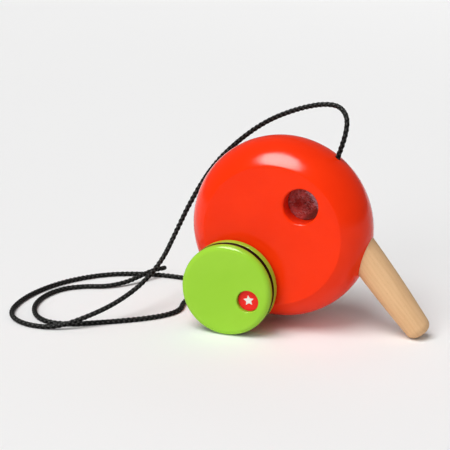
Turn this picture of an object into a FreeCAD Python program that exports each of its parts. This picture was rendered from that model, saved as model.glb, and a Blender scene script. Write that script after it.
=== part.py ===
import FreeCAD, Part
import math
import os

# Pull-along toy, millimetres. +X points along the leg's side, the axle lies along Y, +Z is up.
# The origin is on the floor, under the middle of the toy without its cord.

# Body: a thick turned disc that stands on edge, its flat faces towards -Y and +Y.
bodyRadius = 50.0
bodyThickness = 43.0
flatRadius = 38.0
creaseRounding = 1.2
bodyHeight = 54.0

# Eye sockets, one drilled in each flat face. The places are from the body's middle.
eyeX = 15.5
eyeZ = 17.5
eyeRadius = 9.5
eyeDepth = 9.5
eyeRounding = 1.2
pilotRadius = 1.3
pilotDepth = 1.6

# Leg: a round bar glued in a socket of the rim. Outside it thins along a flat arc to its rounded foot on the floor.
legRadius = 9.1
legSlope = 50.25
legOffset = 28.5
legTaperStart = 32.0
legTaperArc = 712.0
legRounding = 5.0
legInnerEnd = 14.0
glueGap = 0.05

# Wheels: two halves each, with a ring held in the groove between them.
wheelX = -20.0
wheelRadius = 25.0
wheelThickness = 13.5
wheelRounding = 3.0
wheelInnerRounding = 1.5
wheelGap = 1.5
outerHalfThickness = 4.4
ringWidth = 3.5
ringOuterRadius = 25.0
ringInnerRadius = 17.0
ringRounding = 0.5
hubRadius = 16.9
hubDepth = 3.0
grooveEdgeRounding = 0.4

# Badge: a disc sunk in a hole of the wheel's outer face, off the axle.
badgeOffsetX = 12.6
badgeOffsetZ = -4.2
badgeRadius = 5.9
badgeHoleRadius = 6.0
badgeHoleDepth = 3.2
badgeThickness = 0.8
badgeHoleRounding = 0.5
badgeRounding = 0.3

# Axle and what it turns in.
axleRadius = 2.5
axleBite = 10.5
runningClearance = 0.05
bushRadius = 4.0
bushLength = 14.0
bushInset = 1.2
washerRadius = 4.5
washerThickness = 1.1

# Cord: a round braid, glued in a small bore of the rim. The lean is from straight up, towards +X.
cordDiameter = 2.8
cordBoreRadius = 1.6
cordBoreDepth = 18.0
cordLean = 18.0
cordMouth = 2.0
cordTipLength = 3.0
cordTipRounding = 0.6
cordArcShare = 0.45
cordRoute = [
    (11.9, 0, 93.1), (14.3, 0, 100.7), (16.3, 0.5, 109), (16, 3, 116.5), (10.5, 6.5, 121.5),
    (0, 9.5, 121), (-14, 13, 116.5), (-31, 16, 108.5), (-47, 17.5, 96.5), (-62.5, 16, 80.5),
    (-74, 12, 59.5), (-81, 4.5, 40), (-84.5, -6, 27), (-90, -22, 17.5), (-98, -38, 11),
    (-107.5, -53, 7), (-123, -63.5, 1.4), (-141, -65, 1.4), (-155.5, -54, 1.4), (-160.5, -34, 1.4),
    (-159, -11, 1.4), (-150.5, 13, 1.4), (-135, 32, 1.4), (-115.5, 41.5, 1.4), (-98, 44, 1.4),
    (-84, 43, 1.4), (-73, 34, 1.4), (-71.5, 19, 1.4), (-75, 4, 1.4), (-71, -11, 1.4),
    (-77, -24, 1.4), (-90, -36, 1.4), (-104, -46, 1.4), (-119, -55.5, 1.4), (-131, -57, 1.4),
    (-142, -49.5, 1.4), (-149.5, -35.5, 1.4), (-152, -18.5, 1.4), (-147.5, -2, 1.4), (-137, 7, 1.4),
    (-125.5, 11, 1.4), (-116.5, 20.5, 2.3), (-110.8, 30.5, 4.5), (-107.2, 38.7, 5.5), (-103.8, 45, 5.2),
]

# Sizes that follow from the ones above.
bodyHalf = bodyThickness / 2
legSin = math.sin(math.radians(legSlope))
legCos = math.cos(math.radians(legSlope))


def legRadiusAt(distance, inset=0.0):
    # The tapered part's radius, or that of a line the inset inside it, at a distance along the leg's axis.
    return math.sqrt((legTaperArc - inset) ** 2 - (distance - legTaperStart) ** 2) - (legTaperArc - legRadius)


# The foot's rounding just touches the floor. Its place and the taper follow from each other.
legRun = bodyHeight
for turn in range(30):
    legEdge = legRadiusAt(legRun, legRounding)
    legRun = (bodyHeight + (legOffset - legEdge) * legCos - legRounding) / legSin
legOuterEnd = legRun + legRounding
legReach = (legOffset + legEdge) * legSin + legRun * legCos + legRounding
bodyX = (bodyRadius - legReach) / 2
bodyCentre = FreeCAD.Vector(bodyX, 0, bodyHeight)
axleX = bodyX + wheelX
axleZ = wheelRadius
wheelInnerY = bodyHalf + wheelGap
wheelOuterY = wheelInnerY + wheelThickness


def ringProfile(centre, side, outline):
    # Turns a closed (radius, distance from the middle plane) outline about a line along Y.
    points = []
    for radius, distance in outline:
        points.append(FreeCAD.Vector(centre.x + radius, side * distance, centre.z))
    return points


def turned(centre, side, steps):
    # Each step is a line or an arc: ("line", p, q) or ("arc", p, middle, q), in (radius, distance).
    edges = []
    for step in steps:
        corners = ringProfile(centre, side, step[1:])
        if step[0] == "line":
            edges.append(Part.LineSegment(corners[0], corners[1]).toShape())
        else:
            edges.append(Part.Arc(corners[0], corners[1], corners[2]).toShape())
    face = Part.Face(Part.Wire(edges))
    return face.revolve(centre, FreeCAD.Vector(0, 1, 0), 360)


def outline(corners):
    # Lines from corner to corner. A third value rounds that corner with a quarter circle of that size.
    steps = []
    here = None
    first = None
    for index, corner in enumerate(corners):
        spot = corner[:2]
        if len(corner) == 2:
            entry = spot
            leave = spot
        else:
            before = corners[index - 1]
            after = corners[(index + 1) % len(corners)]
            size = corner[2]
            entry = stepTo(spot, before, size)
            leave = stepTo(spot, after, size)
            pull = (1 - math.sqrt(0.5)) * size
            half = (stepTo(spot, before, pull)[0] + stepTo(spot, after, pull)[0] - spot[0],
                    stepTo(spot, before, pull)[1] + stepTo(spot, after, pull)[1] - spot[1])
        if here is not None:
            steps.append(("line", here, entry))
        else:
            first = entry
        if entry != leave:
            steps.append(("arc", entry, half, leave))
        here = leave
    steps.append(("line", here, first))
    return steps


def stepTo(spot, other, size):
    # The point that lies size away from spot, towards other.
    reach = math.hypot(other[0] - spot[0], other[1] - spot[1])
    return (spot[0] + (other[0] - spot[0]) * size / reach, spot[1] + (other[1] - spot[1]) * size / reach)


def rod(radius, start, direction, length):
    return Part.makeCylinder(radius, length, start, direction)


def alongY(radius, x, z, start, end):
    # A cylinder along Y between two places on that axis.
    low = min(start, end)
    return rod(radius, FreeCAD.Vector(x, low, z), FreeCAD.Vector(0, 1, 0), abs(end - start))


def roundedEdges(shape, size, chosen):
    edges = [edge for edge in shape.Edges if chosen(edge)]
    return shape.makeFillet(size, edges)


def isCircle(edge, radius, y):
    curve = edge.Curve
    if curve.TypeId != "Part::GeomCircle":
        return False
    return abs(curve.Radius - radius) < 0.001 and abs(curve.Center.y - y) < 0.001


def legLine():
    # The foot of the leg's axis, nearest the body's middle, and the direction down towards the floor.
    foot = bodyCentre + FreeCAD.Vector(legOffset * legSin, 0, legOffset * legCos)
    return foot, FreeCAD.Vector(legCos, 0, -legSin)


def cordBoreLine():
    lean = math.radians(cordLean)
    return FreeCAD.Vector(*cordRoute[0]), FreeCAD.Vector(math.sin(lean), 0, math.cos(lean))


def bodyDisc():
    # Flat faces joined by one round rim, whose circle is centred on the middle plane.
    start = (flatRadius, -bodyHalf)
    end = (flatRadius, bodyHalf)
    rim = (bodyRadius, 0.0)
    steps = [("line", (0.0, -bodyHalf), start), ("arc", start, rim, end)]
    steps.append(("line", end, (0.0, bodyHalf)))
    steps.append(("line", (0.0, bodyHalf), (0.0, -bodyHalf)))
    disc = turned(bodyCentre, 1, steps)
    faces = (-bodyHalf, bodyHalf)
    return roundedEdges(disc, creaseRounding, lambda edge: any(isCircle(edge, flatRadius, y) for y in faces))


def body():
    shape = bodyDisc()
    eyePlace = bodyCentre + FreeCAD.Vector(eyeX, 0, eyeZ)
    for side in (-1, 1):
        mouth = side * (bodyHalf + 1)
        floor = side * (bodyHalf - eyeDepth)
        tip = FreeCAD.Vector(eyePlace.x, floor - side * pilotDepth, eyePlace.z)
        shape = shape.cut(alongY(eyeRadius, eyePlace.x, eyePlace.z, mouth, floor))
        pilot = Part.makeCone(0, pilotRadius, pilotDepth, tip, FreeCAD.Vector(0, side, 0))
        shape = shape.cut(pilot)
    faces = (-bodyHalf, bodyHalf)
    shape = roundedEdges(shape, eyeRounding, lambda edge: any(isCircle(edge, eyeRadius, y) for y in faces))
    shape = shape.cut(alongY(bushRadius, axleX, axleZ, -bodyHalf - 1, bodyHalf + 1))
    foot, down = legLine()
    socket = rod(legRadius + glueGap, foot + down * (legInnerEnd - glueGap), down, bodyRadius)
    shape = shape.cut(socket)
    mouth, up = cordBoreLine()
    return shape.cut(rod(cordBoreRadius, mouth - up * (cordBoreDepth - cordMouth), up, cordBoreDepth + cordMouth))


def leg():
    foot, down = legLine()
    out = FreeCAD.Vector(legSin, 0, legCos)
    middle = (legTaperStart + legOuterEnd) / 2
    steps = [(legInnerEnd, 0.0), (legInnerEnd, legRadius), (legTaperStart, legRadius)]
    steps += [(middle, legRadiusAt(middle)), (legOuterEnd, legRadiusAt(legOuterEnd)), (legOuterEnd, 0.0)]
    spots = [foot + down * distance + out * radius for distance, radius in steps]
    edges = [Part.LineSegment(spots[i], spots[j]).toShape() for i, j in ((0, 1), (1, 2), (4, 5), (5, 0))]
    edges.insert(2, Part.Arc(spots[2], spots[3], spots[4]).toShape())
    shape = Part.Face(Part.Wire(edges)).revolve(foot, down, 360)
    end = foot + down * legOuterEnd
    shape = roundedEdges(shape, legRounding, lambda edge: edge.CenterOfMass.distanceToPoint(end) < 0.001)
    start = foot + down * legInnerEnd
    edges = [edge for edge in shape.Edges if edge.CenterOfMass.distanceToPoint(start) < 0.001]
    return shape.makeChamfer(0.8, edges)


def axle():
    end = wheelInnerY + axleBite
    shape = alongY(axleRadius, axleX, axleZ, -end, end)
    ends = [edge for edge in shape.Edges if isCircle(edge, axleRadius, end) or isCircle(edge, axleRadius, -end)]
    return shape.makeChamfer(0.3, ends)


def bush(side):
    outer = side * (bodyHalf - bushInset)
    inner = outer - side * bushLength
    shape = alongY(bushRadius, axleX, axleZ, inner, outer)
    return shape.cut(alongY(axleRadius + runningClearance, axleX, axleZ, inner - side, outer + side))


def washer(side):
    middle = side * (bodyHalf + wheelGap / 2)
    half = washerThickness / 2
    shape = alongY(washerRadius, axleX, axleZ, middle - half, middle + half)
    return shape.cut(alongY(axleRadius + runningClearance, axleX, axleZ, middle - wheelGap, middle + wheelGap))


def badgePlace(side):
    return axleX + badgeOffsetX, axleZ + badgeOffsetZ, side * (wheelOuterY - badgeHoleDepth)


def wheelOuterHalf(side):
    # The plain outer disc, with the hub that the ring and the inner half sit on.
    inner = wheelOuterY - outerHalfThickness
    hubEnd = inner - ringWidth - hubDepth
    axleEnd = wheelInnerY + axleBite + 0.2
    corners = [(0, wheelOuterY), (wheelRadius, wheelOuterY, wheelRounding)]
    corners.append((wheelRadius, inner, grooveEdgeRounding))
    corners += [(hubRadius, inner), (hubRadius, hubEnd), (axleRadius, hubEnd)]
    corners += [(axleRadius, axleEnd), (0, axleEnd)]
    centre = FreeCAD.Vector(axleX, 0, axleZ)
    shape = turned(centre, side, outline(corners))
    x, z, floor = badgePlace(side)
    shape = shape.cut(alongY(badgeHoleRadius, x, z, floor, side * (wheelOuterY + 1)))
    mouth = side * wheelOuterY
    return roundedEdges(shape, badgeHoleRounding, lambda edge: isCircle(edge, badgeHoleRadius, mouth))


def wheelInnerHalf(side):
    # The disc next to the body, with a recess for the hub.
    outer = wheelOuterY - outerHalfThickness - ringWidth
    recess = outer - hubDepth
    corners = [(axleRadius, wheelInnerY), (wheelRadius, wheelInnerY, wheelInnerRounding)]
    corners.append((wheelRadius, outer, grooveEdgeRounding))
    corners += [(hubRadius + glueGap, outer), (hubRadius + glueGap, recess), (axleRadius, recess)]
    centre = FreeCAD.Vector(axleX, 0, axleZ)
    return turned(centre, side, outline(corners))


def wheelRing(side):
    outer = wheelOuterY - outerHalfThickness
    inner = outer - ringWidth
    corners = [(ringInnerRadius, outer), (ringOuterRadius, outer, ringRounding)]
    corners += [(ringOuterRadius, inner, ringRounding), (ringInnerRadius, inner)]
    return turned(FreeCAD.Vector(axleX, 0, axleZ), side, outline(corners))


def badge(side):
    x, z, floor = badgePlace(side)
    face = floor + side * badgeThickness
    shape = alongY(badgeRadius, x, z, floor, face)
    return roundedEdges(shape, badgeRounding, lambda edge: isCircle(edge, badgeRadius, face))


def cordPath(points):
    # Straight runs joined by arcs. Each arc takes 0.45 of the shorter run beside its point.
    edges = []
    start = points[0]
    radii = []
    for before, point, after in zip(points, points[1:], points[2:]):
        back = before - point
        ahead = after - point
        setback = cordArcShare * min(back.Length, ahead.Length)
        back.normalize()
        ahead.normalize()
        halfTurn = (math.pi - back.getAngle(ahead)) / 2
        radius = setback / math.tan(halfTurn)
        radii.append(radius)
        middle = back + ahead
        middle.normalize()
        entry = point + back * setback
        leave = point + ahead * setback
        top = point + middle * (radius / math.cos(halfTurn) - radius)
        edges.append(Part.LineSegment(start, entry).toShape())
        edges.append(Part.Arc(entry, top, leave).toShape())
        start = leave
    edges.append(Part.LineSegment(start, points[-1]).toShape())
    print("cord arc radii, mm:", [round(radius, 1) for radius in radii])
    return Part.Wire(edges)


def cord():
    points = [FreeCAD.Vector(*place) for place in cordRoute]
    path = cordPath(points)
    direction = points[1] - points[0]
    direction.normalize()
    section = Part.Wire(Part.Circle(points[0], direction, cordDiameter / 2).toShape())
    shape = path.makePipeShell([section], True, False)
    wanted = math.pi * (cordDiameter / 2) ** 2 * path.Length
    print("cord length", round(path.Length, 1), "volume over section times length", round(shape.Volume / wanted, 4))
    return shape


def cordAnchor():
    # The glued end of the cord, down in its bore.
    mouth, up = cordBoreLine()
    length = cordBoreDepth - cordMouth
    return rod(cordBoreRadius, mouth - up * length, up, length)


def cordTip():
    # The melted end, as long as the cord's last few millimetres.
    end = FreeCAD.Vector(*cordRoute[-1])
    direction = end - FreeCAD.Vector(*cordRoute[-2])
    direction.normalize()
    shape = rod(cordDiameter / 2, end, direction, cordTipLength)
    last = end + direction * cordTipLength
    return roundedEdges(shape, cordTipRounding, lambda edge: edge.CenterOfMass.distanceToPoint(last) < 0.001)


def main():
    os.makedirs("parts", exist_ok=True)
    nodes = {"body": body(), "leg": leg(), "axle": axle()}
    nodes.update({"cord": cord(), "cord_anchor": cordAnchor(), "cord_tip": cordTip()})
    pairs = {"axle_bush": bush, "washer": washer, "wheel_outer_half": wheelOuterHalf}
    pairs.update({"wheel_inner_half": wheelInnerHalf, "wheel_ring": wheelRing, "badge": badge})
    for name, make in pairs.items():
        nodes[name + "_front"] = make(-1)
        nodes[name + "_rear"] = make(1)
    for name, shape in nodes.items():
        box = shape.BoundBox
        size = [round(side, 1) for side in (box.XLength, box.YLength, box.ZLength)]
        print(name, "valid" if shape.isValid() else "NOT VALID", len(shape.Solids), "solid", size)
        shape.exportStep("parts/" + name + ".step")


main()
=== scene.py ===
import math
import bpy
from mathutils import Matrix, Vector, noise


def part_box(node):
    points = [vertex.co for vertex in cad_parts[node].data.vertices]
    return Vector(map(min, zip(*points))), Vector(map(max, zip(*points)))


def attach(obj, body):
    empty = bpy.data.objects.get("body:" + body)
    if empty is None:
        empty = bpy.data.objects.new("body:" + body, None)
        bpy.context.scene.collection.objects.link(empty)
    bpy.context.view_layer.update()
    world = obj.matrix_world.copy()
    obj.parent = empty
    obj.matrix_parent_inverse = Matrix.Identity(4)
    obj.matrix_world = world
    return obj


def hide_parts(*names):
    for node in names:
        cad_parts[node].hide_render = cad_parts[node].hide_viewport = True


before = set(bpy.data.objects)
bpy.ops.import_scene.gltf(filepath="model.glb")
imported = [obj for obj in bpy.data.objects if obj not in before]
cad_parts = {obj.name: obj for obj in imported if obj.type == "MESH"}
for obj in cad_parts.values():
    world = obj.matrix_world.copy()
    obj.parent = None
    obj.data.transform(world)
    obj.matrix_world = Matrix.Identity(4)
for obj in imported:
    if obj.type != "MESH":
        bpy.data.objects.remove(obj)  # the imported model: bodies, nodes, joints and the record
for name in ("Cube", "Light", "Camera"):  # a fresh Blender has these three of its own
    spare = bpy.data.objects.get(name)
    if spare is not None:
        bpy.data.objects.remove(spare)
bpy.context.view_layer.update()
print("frame loaded")


camera = {
    "place": (0.20457, -0.75151, 0.28167),
    "aim": (-0.04636, -0.01018, 0.05355),
    "roll": 1.3,  # degrees, the right side up
    "lens": 120.0,  # on a sensor 36 mm wide
    "near": 0.01,
    "far": 60.0,
}


def addCamera():
    data = bpy.data.cameras.new("viewCamera")
    data.lens = camera["lens"]
    data.clip_start = camera["near"]
    data.clip_end = camera["far"]
    eye = bpy.data.objects.new("viewCamera", data)
    bpy.context.scene.collection.objects.link(eye)
    back = (Vector(camera["place"]) - Vector(camera["aim"])).normalized()
    right = Vector((0, 0, 1)).cross(back).normalized()
    up = back.cross(right)
    roll = math.radians(camera["roll"])
    right, up = right * math.cos(roll) + up * math.sin(roll), up * math.cos(roll) - right * math.sin(roll)
    turn = Matrix((right, up, back)).transposed().to_4x4()
    eye.matrix_world = Matrix.Translation(camera["place"]) @ turn
    bpy.context.scene.camera = eye


addCamera()
print("camera placed")


# the cord's way from its bore, over the arch, down to the floor and round its two loops
cordRoute = [
    (0.0119, 0, 0.0931), (0.0143, 0, 0.1007), (0.0163, 0.0005, 0.109),
    (0.016, 0.003, 0.1165), (0.0105, 0.0065, 0.1215), (0, 0.0095, 0.121),
    (-0.014, 0.013, 0.1165), (-0.031, 0.016, 0.1085), (-0.047, 0.0175, 0.0965),
    (-0.0625, 0.016, 0.0805), (-0.074, 0.012, 0.0595), (-0.081, 0.0045, 0.04),
    (-0.0845, -0.006, 0.027), (-0.09, -0.022, 0.0175), (-0.098, -0.038, 0.011),
    (-0.1075, -0.053, 0.007), (-0.123, -0.0635, 0.0014), (-0.141, -0.065, 0.0014),
    (-0.1555, -0.054, 0.0014), (-0.1605, -0.034, 0.0014), (-0.159, -0.011, 0.0014),
    (-0.1505, 0.013, 0.0014), (-0.135, 0.032, 0.0014), (-0.1155, 0.0415, 0.0014),
    (-0.098, 0.044, 0.0014), (-0.084, 0.043, 0.0014), (-0.073, 0.034, 0.0014),
    (-0.0715, 0.019, 0.0014), (-0.075, 0.004, 0.0014), (-0.071, -0.011, 0.0014),
    (-0.077, -0.024, 0.0014), (-0.09, -0.036, 0.0014), (-0.104, -0.046, 0.0014),
    (-0.119, -0.0555, 0.0014), (-0.131, -0.057, 0.0014), (-0.142, -0.0495, 0.0014),
    (-0.1495, -0.0355, 0.0014), (-0.152, -0.0185, 0.0014), (-0.1475, -0.002, 0.0014),
    (-0.137, 0.007, 0.0014), (-0.1255, 0.011, 0.0014), (-0.1165, 0.0205, 0.0023),
    (-0.1108, 0.0305, 0.0045), (-0.1072, 0.0387, 0.0055), (-0.1038, 0.045, 0.0052),
]

braid = {
    "diameter": 0.0028,
    "length": 0.703,
    "exit": (0.0124, 0, 0.0947),  # the mouth of the bore in the rim
    "strandsEachWay": 3,
    "repeat": 0.0029,  # along the cord, from one strand to the next
    "steps": 8,  # mesh steps across a strand
    "coreRadius": 0.00068,
    "bulge": 0.00055,  # how round each strand is
    "lift": 0.00022,  # how far it rises over the one it crosses
    "twist": 9.0,  # how far the pattern wanders round the cord, in radians a metre
    "wavers": ((0.5, 43.0), (0.3, 107.0)),  # its sway on top of that: radians, and rate along the cord
    "grainShifts": (7, 11),  # sets each strand's fibres apart from its neighbour's, one way and the other
}


def readLine(route):
    data = bpy.data.curves.new("routeLine", "CURVE")
    data.dimensions = "3D"
    data.resolution_u = 32
    spline = data.splines.new("NURBS")
    spline.points.add(len(route) - 1)
    for point, place in zip(spline.points, route):
        point.co = (*place, 1.0)
    spline.order_u = 3
    spline.use_endpoint_u = True
    holder = bpy.data.objects.new("routeLine", data)
    mesh = bpy.data.meshes.new_from_object(holder)
    line = [v.co.copy() for v in mesh.vertices]
    bpy.data.objects.remove(holder)
    bpy.data.curves.remove(data)
    bpy.data.meshes.remove(mesh)
    return line


def evenly(line, step, soften=3):
    # the line read again at even distances, with a tangent at each, taken over a few steps
    reach = [0.0]
    for a, b in zip(line, line[1:]):
        reach.append(reach[-1] + (b - a).length)
    count = int(reach[-1] / step)
    places, k = [], 0
    for i in range(count + 1):
        s = reach[-1] * i / count
        while k < len(line) - 2 and reach[k + 1] < s:
            k += 1
        share = (s - reach[k]) / max(reach[k + 1] - reach[k], 1e-12)
        places.append(line[k].lerp(line[k + 1], share))
    tangents = []
    for i in range(count + 1):
        ahead, behind = places[min(i + soften, count)], places[max(i - soften, 0)]
        tangents.append((ahead - behind).normalized())
    return places, tangents, reach[-1] / count


def makeMesh(name, points, faces, smooth=True):
    mesh = bpy.data.meshes.new(name)
    mesh.from_pydata([tuple(p) for p in points], [], faces)
    mesh.update()
    for face in mesh.polygons:
        face.use_smooth = smooth
    thing = bpy.data.objects.new(name, mesh)
    bpy.context.scene.collection.objects.link(thing)
    return thing


def facesBetween(rows, around, inward=False):
    # the faces between closed rows of points, which inward turns over
    faces = []
    for i in range(rows):
        for j in range(around):
            k = (j + 1) % around
            face = [i * around + j, i * around + k, (i + 1) * around + k, (i + 1) * around + j]
            faces.append(face[::-1] if inward else face)
    return faces


def strandCrown(across):
    # a strand's round section: its height at this place across it, 0 in the middle and 0.5 at an edge
    return braid["bulge"] * math.sqrt(max(0.0, 1 - 4 * across * across))


def strandHeights(a, b):
    # the heights of the two strands that cross here, which go over each other in turn
    i, j = math.floor(a), math.floor(b)
    u, v = a - i - 0.5, b - j - 0.5
    lift = braid["lift"] if (i + j) % 2 == 0 else -braid["lift"]
    return lift * math.cos(math.pi * v) + strandCrown(u), -lift * math.cos(math.pi * u) + strandCrown(v)


def braidPlace(q, m):
    # mesh row q and column m, counted in strands: the turn round the cord, and the place each way
    steps = braid["steps"]
    turn = m / steps + (q % 2) / (2 * steps)
    return turn, turn - q / (2 * steps), turn + q / (2 * steps)


def grainPlaces(corners):
    # where a face's corners lie across and along the strand that is on top there
    a = sum(c[0] for c in corners) / len(corners)
    b = sum(c[1] for c in corners) / len(corners)
    one, other = strandHeights(a, b)
    i, j = math.floor(a), math.floor(b)
    if one >= other:
        return [(ca - i - 0.5, cb + i * braid["grainShifts"][0]) for ca, cb in corners]
    return [(cb - j - 0.5, ca + j * braid["grainShifts"][1]) for ca, cb in corners]


def braidedCord():
    places, tangents, step = evenly(cordLine, braid["repeat"] / (2 * braid["steps"]))
    around = braid["steps"] * braid["strandsEachWay"]
    last = len(places) - 1
    side = tangents[0].orthogonal().normalized()
    points = []
    for q, (place, tangent) in enumerate(zip(places, tangents)):
        side = (side - tangent * side.dot(tangent)).normalized()
        across = tangent.cross(side)
        wander = braid["twist"] * step * q
        for size, rate in braid["wavers"]:
            wander += size * math.sin(step * q * rate)
        for m in range(around):
            turn, a, b = braidPlace(q, m)
            radius = braid["coreRadius"] + max(strandHeights(a, b))
            angle = 2 * math.pi * turn / braid["strandsEachWay"] + wander
            points.append(place + (side * math.cos(angle) + across * math.sin(angle)) * radius)
    rings = []
    for q in range(last - 1):
        for m in range(around):
            left = m - 1 + q % 2
            rings.append([(q, m), (q + 1, left + 1), (q + 2, m), (q + 1, left)])
    for q, beside in ((0, 1), (last, last - 1)):  # the half diamonds at the two ends
        for m in range(around):
            ring = [(q, m), (beside, m + q % 2), (q, m + 1)]
            rings.append(ring[::-1] if q == 0 else ring)
    faces, strandUv = [], []
    for ring in rings:
        faces.append([q * around + m % around for q, m in ring])
        strandUv.extend(grainPlaces([braidPlace(q, m)[1:] for q, m in ring]))
    faces.append(list(range(around))[::-1])
    faces.append([last * around + m for m in range(around)])
    strandUv.extend([(0.0, 0.0)] * (2 * around))
    piece = makeMesh("cordBraid", points, faces)
    layer = piece.data.uv_layers.new(name="strand")
    for slot, uv in zip(layer.data, strandUv):
        slot.uv = uv
    return piece


melt = {
    "rows": 26,
    "around": 40,
    "overlap": 0.0006,  # how far the bead reaches back over the braid
    "length": 0.0034,
    "radius": 0.00128,
    "swell": 0.00009,
    "shoulder": 0.62,  # the share of its length after which it rounds off
    "bluntness": 2.4,
    "ridges": 8,  # what is left of the braid at its start
    "ridgeHeight": 0.00006,
    "ridgeLean": 2.0,
    "ridgeFade": 1.6,
    "lumpHeight": 0.00013,
    "lumpRate": 900,
    "lumpStart": 3,  # how fast the lumps set in
}


def meltedTip():
    # the fibres fused into a lumpy bead, with the braid's last ridges running out into it
    start, way = cordLine[-1], (cordLine[-1] - cordLine[-3]).normalized()
    side = way.orthogonal().normalized()
    across = way.cross(side)
    rows, around, shoulder = melt["rows"], melt["around"], melt["shoulder"]
    points = []
    for i in range(rows + 1):
        t = i / rows
        middle = start + way * (t * melt["length"] - melt["overlap"])
        if t < shoulder:
            radius = melt["radius"] + melt["swell"] * math.sin(t / shoulder * math.pi)
        else:
            k = (t - shoulder) / (1 - shoulder)
            radius = melt["radius"] * math.sqrt(max(0.0, 1 - k ** melt["bluntness"])) + 0.00001
        for j in range(around):
            angle = 2 * math.pi * j / around
            out = side * math.cos(angle) + across * math.sin(angle)
            ridge = melt["ridgeHeight"] * math.cos(melt["ridges"] * angle + melt["ridgeLean"] * t)
            ridge *= max(0.0, 1 - t * melt["ridgeFade"])
            spot = middle + out * radius
            lump = melt["lumpHeight"] * noise.noise(spot * melt["lumpRate"]) * min(1, melt["lumpStart"] * t)
            points.append(spot + out * (ridge + lump))
    faces = facesBetween(rows, around)
    faces.append(list(range(around))[::-1])
    faces.append([rows * around + j for j in range(around)])
    return makeMesh("cordMeltedTip", points, faces)


cordLine = readLine(cordRoute)
cordPiece = braidedCord()
tipPiece = meltedTip()
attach(cordPiece, "toy")
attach(tipPiece, "toy")
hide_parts("cord")
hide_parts("cord_tip")
print("cord braided:", len(cordPiece.data.polygons), "faces")


class Wire:
    # one output of a shader node, which takes part in plain sums
    def __init__(self, finish, socket):
        self.finish, self.socket = finish, socket

    def output(self, name):
        return Wire(self.finish, self.socket.node.outputs[name])

    def maths(self, operation, *values):
        return self.finish.add("ShaderNodeMath", {"operation": operation}, dict(enumerate(values)))

    def __add__(self, other):
        return self.maths("ADD", self, other)

    def __radd__(self, other):
        return self.maths("ADD", other, self)

    def __sub__(self, other):
        return self.maths("SUBTRACT", self, other)

    def __rsub__(self, other):
        return self.maths("SUBTRACT", other, self)

    def __mul__(self, other):
        return self.maths("MULTIPLY", self, other)

    def __rmul__(self, other):
        return self.maths("MULTIPLY", other, self)

    def __pow__(self, other):
        return self.maths("POWER", self, other)

    def __rpow__(self, other):
        return self.maths("POWER", other, self)

    def sine(self):
        return self.maths("SINE", self)

    def absolute(self):
        return self.maths("ABSOLUTE", self)

    def between(self, low, high):
        # 0 below low, 1 above high, smooth between
        settings = {"interpolation_type": "SMOOTHSTEP"}
        return self.finish.add("ShaderNodeMapRange", settings, {0: self, 1: low, 2: high, 3: 0.0, 4: 1.0})


class Finish:
    # a material with one shader, whose even values are given by name
    def __init__(self, name, even):
        self.material = bpy.data.materials.new(name)
        self.material.use_nodes = True
        self.tree = self.material.node_tree
        self.shader = self.tree.nodes["Principled BSDF"]
        for key, value in even.items():
            self.give(self.shader.inputs[key], value)

    def add(self, kind, settings, sockets, output=0):
        node = self.tree.nodes.new(kind)
        for key, value in settings.items():
            setattr(node, key, value)
        for key, value in sockets.items():
            self.give(node.inputs[key], value)
        return Wire(self, node.outputs[output])

    def give(self, socket, value):
        if isinstance(value, Wire):
            self.tree.links.new(value.socket, socket)
        elif socket.type == "RGBA":
            socket.default_value = (*value, 1.0)
        else:
            socket.default_value = value

    def place(self):
        return self.add("ShaderNodeTexCoord", {}, {}, "Object")

    def mapped(self, vector, scale=(1, 1, 1), turn=(0, 0, 0), shift=(0, 0, 0)):
        sockets = {"Vector": vector, "Location": shift, "Rotation": turn, "Scale": scale}
        return self.add("ShaderNodeMapping", {}, sockets)

    def noise(self, vector, rate, detail, rough=0.5):
        sockets = {"Vector": vector, "Scale": rate, "Detail": detail, "Roughness": rough}
        return self.add("ShaderNodeTexNoise", {}, sockets)

    def cloud(self, vector, size, detail=2.0, rough=0.5):
        # noise whose blotches are about size metres across
        return self.noise(vector, 1 / size, detail, rough)

    def blend(self, share, first, second):
        return self.add("ShaderNodeMix", {"data_type": "RGBA"}, {0: share, 6: first, 7: second}, 2)

    def parts(self, vector):
        split = self.add("ShaderNodeSeparateXYZ", {}, {0: vector})
        return split, split.output("Y"), split.output("Z")

    def relief(self, height, depth, under=None):
        sockets = {"Height": height, "Distance": depth, "Strength": 1.0}
        if under is not None:
            sockets["Normal"] = under
        return self.add("ShaderNodeBump", {}, sockets)

    def show(self, colour, roughness, normal=None):
        self.give(self.shader.inputs["Base Color"], colour)
        self.give(self.shader.inputs["Roughness"], roughness)
        if normal is not None:
            self.give(self.shader.inputs["Normal"], normal)
        return self.material


lacquer = {
    "red": (0.93, 0.036, 0.003),
    "redDeep": (0.87, 0.028, 0.002),
    "green": (0.325, 0.615, 0.045),
    "greenDeep": (0.290, 0.580, 0.034),
    "shine": 0.13,
    "roughness": 0.12,
    "peel": 0.0024,  # the size of the sprayed coat's waves
    "peelDepth": 0.0000035,
    "grain": 0.012,  # the length of the wood's fibres under the coat
    "pore": 0.0035,
    "grainDepth": 0.000004,
    "blush": 0.03,  # the size of the patches where the coat is thicker
}


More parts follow.
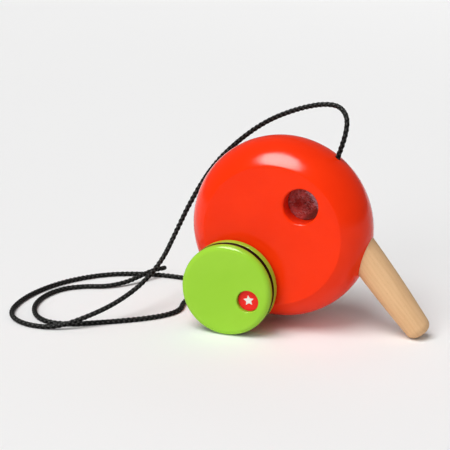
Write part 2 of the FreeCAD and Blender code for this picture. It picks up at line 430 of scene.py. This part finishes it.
def lacquerFinish(name, colour, deep, turn=(0, 0, 0), shift=(0, 0, 0)):
    finish = Finish(name, {"Specular IOR Level": lacquer["shine"]})
    here = finish.mapped(finish.place(), shift=shift, turn=turn)
    fibres = finish.cloud(finish.mapped(here, scale=(1, 14, 14)), lacquer["grain"], 4.0, 0.6)
    pores = finish.cloud(finish.mapped(here, scale=(1, 9, 9)), lacquer["pore"], 2.0).between(0.62, 0.72)
    blush = finish.cloud(here, lacquer["blush"], 3.0)
    waves = finish.cloud(here, lacquer["peel"], 1.0)
    colourNow = finish.blend(blush.between(0.35, 0.65) * 0.5 + fibres * 0.35, colour, deep)
    normal = finish.relief(fibres + pores * -0.6, lacquer["grainDepth"])
    normal = finish.relief(waves, lacquer["peelDepth"], normal)
    roughness = lacquer["roughness"] + finish.cloud(here, 0.02, 4.0, 0.6) * 0.06 + pores * 0.05
    return finish.show(colourNow, roughness, normal)


beech = {
    "light": (0.735, 0.470, 0.250),
    "dark": (0.600, 0.345, 0.160),
    "fleck": (0.360, 0.190, 0.085),
    "shine": 0.2,
    "roughness": 0.52,
    "slope": -50.25,  # degrees, which lays the leg's grain along x
    "heart": (0, 0.021, 0.013),  # how far the tree's heart is from the leg
    "ringSpacing": 0.0021,
    "ringStrength": 0.16,
    "fibre": 0.00032,
    "fibreStrength": 0.34,
    "streak": 0.004,
    "streakStrength": 0.75,
    "fleckSize": 0.00026,
    "grainDepth": 0.000030,
}


def beechFinish():
    finish = Finish("naturalBeech", {"Specular IOR Level": beech["shine"]})
    along = finish.mapped(finish.place(), turn=(0, math.radians(beech["slope"]), 0), shift=beech["heart"])
    drift = finish.cloud(finish.mapped(along, scale=(0.2, 1, 1)), 0.009, 3.0)
    y, z = finish.parts(along)[1:]
    reach = (y * y + z * z) ** 0.5 + drift * 0.0055
    rings = (reach * (2 * math.pi / beech["ringSpacing"])).sine() * 0.5 + 0.5
    fibres = finish.cloud(finish.mapped(along, scale=(0.035, 1, 1)), beech["fibre"], 3.0, 0.6)
    streaks = finish.cloud(finish.mapped(along, scale=(0.1, 1, 1)), beech["streak"], 3.0)
    flecks = finish.cloud(finish.mapped(along, scale=(0.16, 1, 1)), beech["fleckSize"], 1.0)
    flecks = flecks.between(0.66, 0.74)
    tone = rings ** 1.6 * beech["ringStrength"] + fibres * beech["fibreStrength"]
    tone = tone + streaks * beech["streakStrength"] - 0.28
    colour = finish.blend(tone.between(0.0, 1.0), beech["light"], beech["dark"])
    colour = finish.blend(flecks * 0.30, colour, beech["fleck"])
    normal = finish.relief(fibres - flecks * 0.7 + rings * 0.12, beech["grainDepth"])
    return finish.show(colour, beech["roughness"] + fibres * 0.14 - flecks * 0.06, normal)


rubber = {
    "black": (0.0022, 0.0021, 0.0020),
    "dusty": (0.010, 0.0098, 0.0095),
    "dust": 0.35,  # how much of it shows
    "shine": 0.05,
    "roughness": 0.34,
    "speckle": 0.0003,
    "speckleDepth": 0.000012,
}


def rubberFinish():
    finish = Finish("blackRubber", {"Specular IOR Level": rubber["shine"]})
    here = finish.place()
    grime = finish.cloud(here, 0.004, 5.0, 0.65)
    speckle = finish.cloud(here, rubber["speckle"], 2.0)
    colour = finish.blend(grime.between(0.5, 0.8) * rubber["dust"], rubber["black"], rubber["dusty"])
    normal = finish.relief(speckle + grime * 0.5, rubber["speckleDepth"])
    return finish.show(colour, rubber["roughness"] + grime * 0.18, normal)


steel = {"light": (0.62, 0.62, 0.63), "dull": (0.42, 0.42, 0.43), "roughness": 0.22}
brass = {"light": (0.80, 0.58, 0.24), "dull": (0.55, 0.37, 0.13), "roughness": 0.26}


def metalFinish(name, metal):
    finish = Finish(name, {"Specular IOR Level": 0.5, "Metallic": 1.0})
    here = finish.place()
    turned = finish.cloud(finish.mapped(here, scale=(0.05, 1, 0.05)), 0.00022, 2.0)
    dull = finish.cloud(here, 0.003, 4.0, 0.6)
    colour = finish.blend(dull * 0.7, metal["light"], metal["dull"])
    return finish.show(colour, metal["roughness"] + dull * 0.16, finish.relief(turned + dull * 0.4, 0.000008))


nylon = {
    "light": (0.78, 0.76, 0.70),
    "dark": (0.70, 0.67, 0.60),
    "shine": 0.45,
    "roughness": 0.38,
    "glow": 0.15,  # light that passes through
    "glowReach": 0.001,
}


def nylonFinish():
    even = {
        "Specular IOR Level": nylon["shine"],
        "Subsurface Weight": nylon["glow"],
        "Subsurface Scale": nylon["glowReach"],
    }
    finish = Finish("nylonWasher", even)
    cloudy = finish.cloud(finish.place(), 0.002, 3.0)
    colour = finish.blend(cloudy, nylon["light"], nylon["dark"])
    return finish.show(colour, nylon["roughness"] + cloudy * 0.12, finish.relief(cloudy, 0.00001))


badge = {"light": (0.93, 0.030, 0.020), "dark": (0.80, 0.012, 0.010), "shine": 0.15, "roughness": 0.26}


def badgeFinish():
    finish = Finish("redBadge", {"Specular IOR Level": badge["shine"]})
    here = finish.place()
    speckle = finish.cloud(here, 0.0006, 3.0, 0.6)
    blush = finish.cloud(here, 0.004, 2.0)
    colour = finish.blend(speckle * 0.4 + blush * 0.4, badge["light"], badge["dark"])
    return finish.show(colour, badge["roughness"] + speckle * 0.16, finish.relief(speckle, 0.000006))


whiteInk = {"clean": (0.86, 0.84, 0.80), "worn": (0.72, 0.62, 0.58), "shine": 0.3, "roughness": 0.4}


def printFinish():
    finish = Finish("whitePrint", {"Specular IOR Level": whiteInk["shine"]})
    speckle = finish.cloud(finish.place(), 0.0004, 3.0, 0.6)
    colour = finish.blend(speckle.between(0.45, 0.75) * 0.6, whiteInk["clean"], whiteInk["worn"])
    return finish.show(colour, whiteInk["roughness"] + speckle * 0.15, finish.relief(speckle, 0.00001))


yarn = {
    "black": (0.0010, 0.0010, 0.0010),
    "paintedCrownHighlight": (0.050, 0.050, 0.047),  # painted highlight, at a strand's highest place
    "shine": 0.06,
    "roughness": 0.30,
    "yarnsInStrand": 5,
    "yarnLean": 0.12,
    "fibreStretch": (34, 1.5, 1),
    "depth": 0.00004,
}


def braidFinish():
    # each strand shows as a grain, with a painted highlight at its crown and painted shade where it dives
    # under its neighbour
    finish = Finish("cordBraid", {"Specular IOR Level": yarn["shine"]})
    strand = finish.add("ShaderNodeUVMap", {"uv_map": "strand"}, {})
    across, along = finish.parts(strand)[:2]
    turns = across * yarn["yarnsInStrand"] + along * yarn["yarnLean"]
    yarns = (turns * (2 * math.pi)).sine() * 0.5 + 0.5
    fibres = finish.noise(finish.mapped(strand, scale=yarn["fibreStretch"]), 1.0, 3.0, 0.6)
    # edge: painted shade at a strand's sides, which are also duller there
    edge = (across.absolute() * 2) ** 2.0
    rise = (along * math.pi).sine()
    # the painted highlight along each strand's crown
    paintedCrownHighlight = rise * rise * (1 - edge)
    blotch = finish.cloud(finish.place(), 0.006, 3.0)
    tone = paintedCrownHighlight * 0.85 + yarns * 0.2 + fibres * 0.4 + blotch * 0.2 - 0.3
    colour = finish.blend(tone.between(0.15, 1.0), yarn["black"], yarn["paintedCrownHighlight"])
    normal = finish.relief(yarns * 0.6 + fibres * 0.9, yarn["depth"])
    return finish.show(colour, yarn["roughness"] + fibres * 0.14 + edge * 0.35, normal)


fused = {"dark": (0.006, 0.006, 0.006), "light": (0.022, 0.020, 0.019), "shine": 0.2, "roughness": 0.2}


def meltedFinish():
    finish = Finish("meltedEnd", {"Specular IOR Level": fused["shine"]})
    bubbles = finish.cloud(finish.place(), 0.0004, 4.0, 0.6)
    colour = finish.blend(bubbles, fused["dark"], fused["light"])
    return finish.show(colour, fused["roughness"] + bubbles * 0.3, finish.relief(bubbles, 0.00008))


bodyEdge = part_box("body")[0][0]  # where the body starts in x
drilled = {
    "deep": (0.13, 0.008, 0.006),
    "soaked": (0.38, 0.066, 0.062),
    "paintedLightLowLeft": (0.56, 0.070, 0.065),  # painted light, lighter low down, more so towards the left
    "specks": (0.44, 0.18, 0.18),
    "darkSpot": (0.22, 0.006, 0.003),  # a darker spot near the middle
    "corner": (0.085, 0.008, 0.002),  # painted shadow at the lower right
    "bare": (0.50, 0.42, 0.50),  # dry fuzz at the upper right
    "shine": 0.2,
    "roughness": 0.62,
    "darkSpotPlace": (bodyEdge + 0.0622, 0.0703),  # in x and z
    "depth": 0.00025,
}


def drilledFinish():
    # paint soaked unevenly into torn end fibres, with a darker spot near the middle, thin and greyish on the
    # fuzz; painted light low down at the left and painted shadow in the lower right corner
    finish = Finish("drilledWood", {"Specular IOR Level": drilled["shine"]})
    here = finish.place()
    fuzz = finish.cloud(finish.mapped(here, scale=(0.45, 1, 1)), 0.0007, 4.0, 0.7)
    soaked = finish.cloud(here, 0.0034, 3.0, 0.6)
    specks = finish.cloud(here, 0.0011, 2.0, 0.5).between(0.54, 0.66)
    x, z = finish.parts(here)[::2]
    right, up = x - drilled["darkSpotPlace"][0], z - drilled["darkSpotPlace"][1]
    reach = (right * right + up * up) ** 0.5 + (soaked - 0.5) * 0.0045
    # a darker spot just left of the socket's middle
    darkSpot = 1 - reach.between(0.0014, 0.0040)
    bare = (right + up * 0.8 + (fuzz - 0.5) * 0.008).between(0.0086, 0.0114)
    # painted shadow in the lower right corner of the socket floor
    corner = (right - up * 1.1 + (soaked - 0.5) * 0.006).between(0.0085, 0.0125)
    # painted light: paler low down on the socket floor, more so towards the left
    paintedLightLowLeft = (right * -0.5 - up + (soaked - 0.5) * 0.006).between(0.001, 0.006)
    share = (soaked * 0.7 + fuzz * 0.9).between(0.62, 0.92)
    colour = finish.blend(share, drilled["deep"], drilled["soaked"])
    colour = finish.blend(paintedLightLowLeft * 0.6, colour, drilled["paintedLightLowLeft"])
    colour = finish.blend(specks * 0.5, colour, drilled["specks"])
    colour = finish.blend(darkSpot * 0.85, colour, drilled["darkSpot"])
    colour = finish.blend(corner * 0.85, colour, drilled["corner"])
    colour = finish.blend(bare * (specks * 0.5 + fuzz * 0.7), colour, drilled["bare"])
    normal = finish.relief(fuzz + specks * 0.5, drilled["depth"])
    return finish.show(colour, drilled["roughness"] + fuzz * 0.2 - specks * 0.25, normal)


redWood = lacquerFinish("redLacqueredWood", lacquer["red"], lacquer["redDeep"])
greenWood = lacquerFinish(
    "greenLacqueredWood", lacquer["green"], lacquer["greenDeep"], turn=(0, 0.6, 0), shift=(0.011, 0, 0.017)
)
finishes = {
    "red_lacquered_wood": redWood,
    "green_lacquered_wood": greenWood,
    "natural_beech": beechFinish(),
    "black_rubber": rubberFinish(),
    "steel_axle": metalFinish("steelAxle", steel),
    "brass_bush": metalFinish("brassBush", brass),
    "nylon_washer": nylonFinish(),
    "red_badge": badgeFinish(),
    "cord_braid": braidFinish(),
    "cord_melted_end": meltedFinish(),
}
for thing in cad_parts.values():
    for slot in thing.material_slots:
        slot.material = finishes[slot.material.name.split(".")[0]]
cordPiece.data.materials.append(finishes["cord_braid"])
tipPiece.data.materials.append(finishes["cord_melted_end"])
print("finishes made:", len(finishes))


# the rough ground at the bottom of each eye socket
eyeFloor = {
    "middle": (bodyEdge + 0.0655, 0.0715),  # x and z of the socket's axis
    "radius": 0.00945,
    "depth": 0.0120,  # the socket's floor, from the middle plane
    "rings": 76,
    "around": 150,
    "innermost": 0.004,  # the first ring, as a share of the radius
    "fuzzHeight": 0.00034,
    "lowest": 0.00003,
    "edgeHeight": 0.00002,
    "ridgeHeight": 0.00007,  # the cutter's rings
    "ridgeSpacing": 0.0012,
    "tornHeight": 0.00024,
    "tornRates": (300, 1100),  # along x and along z, so the fibres lie along x
    "chatterHeight": 0.00006,
    "chatterMarks": 26,
    "chatterLean": 900,
    "pilotRadius": 0.0012,
    "pilotDepth": 0.0011,
}


def floorHeight(radius, angle, px, pz, side):
    # ridges left by the cutter, fibres it tore out, and the pilot's dimple in the middle
    ridge = eyeFloor["ridgeHeight"]
    ridge *= math.sin(radius * 2 * math.pi / eyeFloor["ridgeSpacing"] + 0.5 * math.sin(angle * 2))
    rateX, rateZ = eyeFloor["tornRates"]
    torn = noise.fractal(Vector((px * rateX, side * 3.0, pz * rateZ)), 1.0, 2.1, 4) * eyeFloor["tornHeight"]
    chatter = math.cos(angle * eyeFloor["chatterMarks"] + radius * eyeFloor["chatterLean"])
    chatter *= eyeFloor["chatterHeight"]
    height = max(eyeFloor["fuzzHeight"] + ridge + torn + chatter, eyeFloor["lowest"])
    inPilot = radius / eyeFloor["pilotRadius"]
    if inPilot < 1:
        height = height * inPilot - eyeFloor["pilotDepth"] * (1 - inPilot)
    return height


def drilledFloor(name, side):
    rings, around = eyeFloor["rings"], eyeFloor["around"]
    x, z = eyeFloor["middle"]
    first = eyeFloor["innermost"]
    points = []
    for i in range(rings + 1):
        radius = eyeFloor["radius"] * (first + (1 - first) * i / rings)
        for j in range(around):
            angle = 2 * math.pi * j / around
            px, pz = x + radius * math.cos(angle), z + radius * math.sin(angle)
            height = floorHeight(radius, angle, px, pz, side) if i < rings else eyeFloor["edgeHeight"]
            points.append((px, side * (eyeFloor["depth"] + height), pz))
    faces = facesBetween(rings, around, side < 0)
    faces.append(list(range(around))[::-side])
    floorPiece = makeMesh(name, points, faces)
    floorPiece.data.materials.append(drilledWood)
    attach(floorPiece, "toy")


drilledWood = drilledFinish()
drilledFloor("eyeFloorFront", -1)
drilledFloor("eyeFloorRear", 1)
print("eye floors cut")


star = {
    "points": 5,
    "outer": 0.0031,
    "inner": 0.00145,
    "thickness": 0.00012,
    "sunk": 0.00002,  # into the badge
    "tilt": 8.0,  # degrees
    "outerRounding": 0.18,  # the share of each edge that its corner takes
    "innerRounding": 0.1,
    "arcSteps": 4,
}


def starOutline():
    count = star["points"] * 2
    corners = []
    for i in range(count):
        radius = star["outer"] if i % 2 == 0 else star["inner"]
        angle = math.pi / 2 + math.radians(star["tilt"]) + 2 * math.pi * i / count
        corners.append(Vector((radius * math.cos(angle), 0, radius * math.sin(angle))))
    outline = []
    for i, corner in enumerate(corners):  # each corner becomes a short arc
        cut = star["outerRounding"] if i % 2 == 0 else star["innerRounding"]
        start, end = corner.lerp(corners[i - 1], cut), corner.lerp(corners[(i + 1) % count], cut)
        for k in range(star["arcSteps"] + 1):
            t = k / star["arcSteps"]
            outline.append(start.lerp(corner, t).lerp(corner.lerp(end, t), t))
    return outline


def badgeStar(name, node, side):
    low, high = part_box(node)
    x, z = (low[0] + high[0]) / 2, (low[2] + high[2]) / 2
    surface = high[1] if side > 0 else low[1]
    outline, thick = starOutline(), star["thickness"]
    around = len(outline)
    rows = ((1.0, -star["sunk"]), (1.0, thick * 0.6), (0.965, thick), (0.5, thick))  # size and height
    points = []
    for size, out in rows:
        points += [(x + p.x * size, surface + side * out, z + p.z * size) for p in outline]
    points.append((x, surface + side * thick, z))
    faces = facesBetween(len(rows) - 1, around, side > 0)
    innermost = (len(rows) - 1) * around
    for j in range(around):
        faces.append([innermost + j, innermost + (j + 1) % around, len(points) - 1][::-side])
    faces.append(list(range(around))[::side])
    piece = makeMesh(name, points, faces)
    piece.data.materials.append(whitePrint)
    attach(piece, "wheelset")


whitePrint = printFinish()
badgeStar("badgeStarFront", "badge_front", -1)
badgeStar("badgeStarRear", "badge_rear", 1)
print("badge stars made")


studio = {
    "floorSize": 16.0,
    "floorColour": (0.890, 0.888, 0.887),
    "floorFade": 0.992,  # how dark its faint clouds are
    "floorRoughness": 0.72,
    "skyColour": (1.0, 0.998, 0.997),
    "sky": 0.19,
}
toyMiddle = (-0.03, 0.0, 0.05)
# each panel's place, what it points at, its width and depth, its power, and what it is for:
# a gloss panel shows only in glossy surfaces, and a light panel only lights
panels = {
    "overheadGlow": ((-0.60, -1.14, 2.72), toyMiddle, (2.5, 2.0), 200.0, "gloss"),
    "overheadHeart": ((-0.59, -1.12, 2.66), toyMiddle, (1.9, 1.5), 175.0, "gloss"),
    "frontPanel": ((-0.75, -2.9, 1.15), toyMiddle, (2.2, 1.6), 29.0, "light"),
    "backPanel": ((0.1, 2.1, 1.5), (0.1, 1.8, 0.0), (2.8, 0.8), 6.0, "light"),
}
# one far, wide light evens out the whole floor
daylight = {"from": (-0.60, -1.28, 2.66), "strength": 2.35, "spread": 40.0}  # the spread in degrees


def addLamp(name, kind, place, aim, use):
    data = bpy.data.lights.new(name, kind)
    lamp = bpy.data.objects.new(name, data)
    bpy.context.scene.collection.objects.link(lamp)
    lamp.location = place
    lamp.rotation_euler = (Vector(aim) - Vector(place)).to_track_quat("-Z", "Y").to_euler()
    lamp.visible_diffuse = use != "gloss"
    lamp.visible_glossy = use != "light"
    return data


def addPanel(name, place, aim, size, power, use):
    data = addLamp(name, "AREA", place, aim, use)
    data.shape = "ELLIPSE"
    data.size, data.size_y = size
    data.energy = power


def addDaylight():
    data = addLamp("wideLight", "SUN", daylight["from"], toyMiddle, "light")
    data.energy = daylight["strength"]
    data.angle = math.radians(daylight["spread"])


def addFloor():
    half = studio["floorSize"] / 2
    corners = [(-half, -half, 0), (half, -half, 0), (half, half, 0), (-half, half, 0)]
    sheet = makeMesh("studioFloor", corners, [[0, 1, 2, 3]], smooth=False)
    finish = Finish("paleFloor", {"Specular IOR Level": 0.0})
    clouds = finish.cloud(finish.place(), 0.3, 2.0)
    faded = tuple(c * studio["floorFade"] for c in studio["floorColour"])
    colour = finish.blend(clouds, studio["floorColour"], faded)
    sheet.data.materials.append(finish.show(colour, studio["floorRoughness"] + clouds * 0.1))


def addAir():
    world = bpy.data.worlds.new("studioAir")
    bpy.context.scene.world = world
    world.use_nodes = True
    air = world.node_tree.nodes["Background"]
    air.inputs["Color"].default_value = (*studio["skyColour"], 1.0)
    air.inputs["Strength"].default_value = studio["sky"]


addFloor()
for name, facts in panels.items():
    addPanel(name, *facts)
addDaylight()
addAir()
bpy.context.scene.view_settings.view_transform = "Standard"
print("studio lit")
